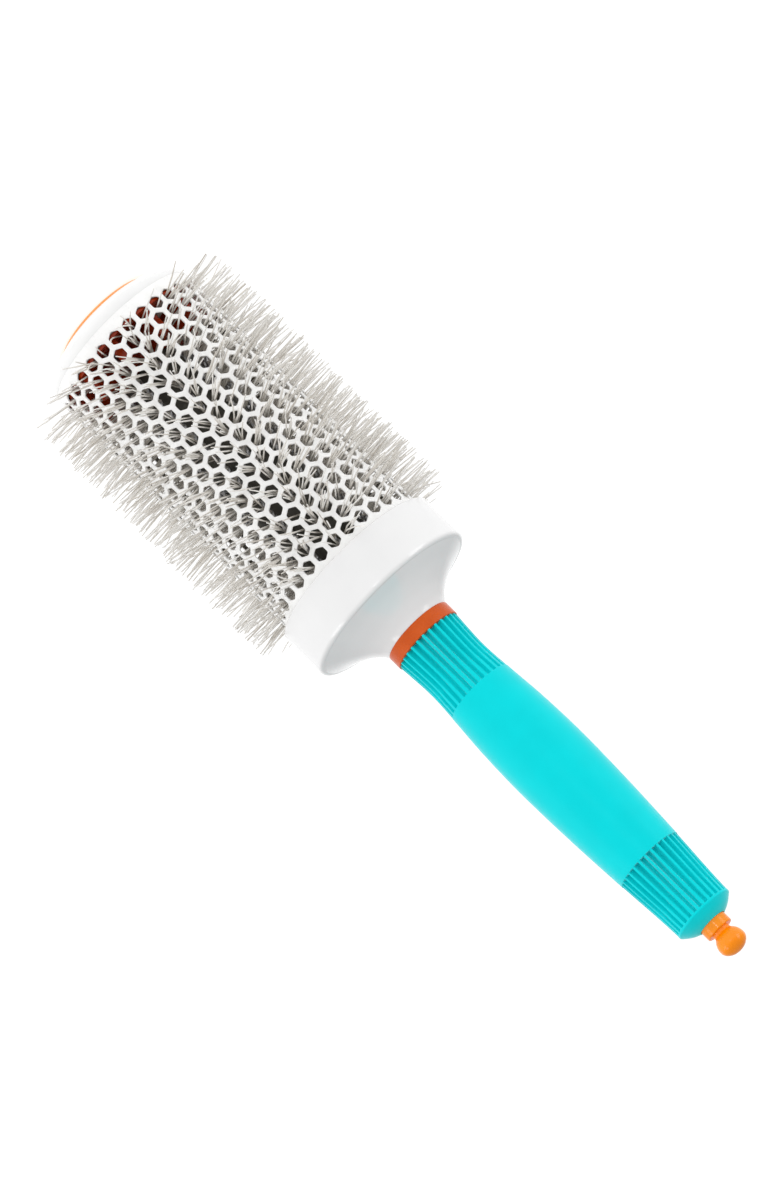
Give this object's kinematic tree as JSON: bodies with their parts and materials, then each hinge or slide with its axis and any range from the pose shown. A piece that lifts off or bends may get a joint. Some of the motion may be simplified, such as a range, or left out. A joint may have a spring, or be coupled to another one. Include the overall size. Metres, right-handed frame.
{
  "type": "round barrel brush",
  "caption": "Vented round barrel hair brush with nylon bristles, soft ribbed handle and a sectioning pick that draws out of the handle's end.",
  "frame": {"origin": "centre of the flat outer face of the front cap's disc, on which the brush can stand", "axes": "+Z along the brush axis from the barrel's front cap to the handle's end"},
  "size_m": [0.0778, 0.0778, 0.2734],
  "materials": {
    "ceramic_white": "smooth white ceramic coat on thin aluminium",
    "gloss_white": "gloss moulded plastic",
    "gloss_orange": "gloss moulded plastic",
    "nylon": "translucent ivory nylon bristle on twisted wire",
    "dark_plastic": "plain moulded plastic",
    "white_plastic": "plain moulded plastic",
    "soft_turquoise": "soft-touch moulded elastomer",
    "steel": "plain turned steel",
    "brass": "turned brass",
    "black_rubber": "black rubber"
  },
  "bodies": {
    "brush": {"barrel_tube": "ceramic_white", "bristle_strip_01": "nylon", "bristle_strip_02": "nylon", "bristle_strip_03": "nylon", "bristle_strip_04": "nylon", "bristle_strip_05": "nylon", "bristle_strip_06": "nylon", "bristle_strip_07": "nylon", "bristle_strip_08": "nylon", "bristle_strip_09": "nylon", "bristle_strip_10": "nylon", "front_hub": "gloss_orange", "core_tube": "dark_plastic", "rear_hub": "white_plastic", "front_cap": "gloss_white", "cap_disc": "gloss_orange", "front_washer": "steel", "front_nut": "steel", "tie_rod": "steel", "handle_insert": "brass", "collar": "gloss_white", "neck_ring": "gloss_orange", "grip_sleeve": "soft_turquoise", "handle_core": "white_plastic", "pick_bush": "white_plastic", "pick_ring": "black_rubber"},
    "pick": {"pick_knob": "gloss_orange", "pick_pin": "steel"}
  },
  "joints": [
    {"name": "pick_draw", "type": "slide", "parent": "brush", "child": "pick", "axis": [0, 0, 1], "range_m": [0, 0.075]}
  ]
}
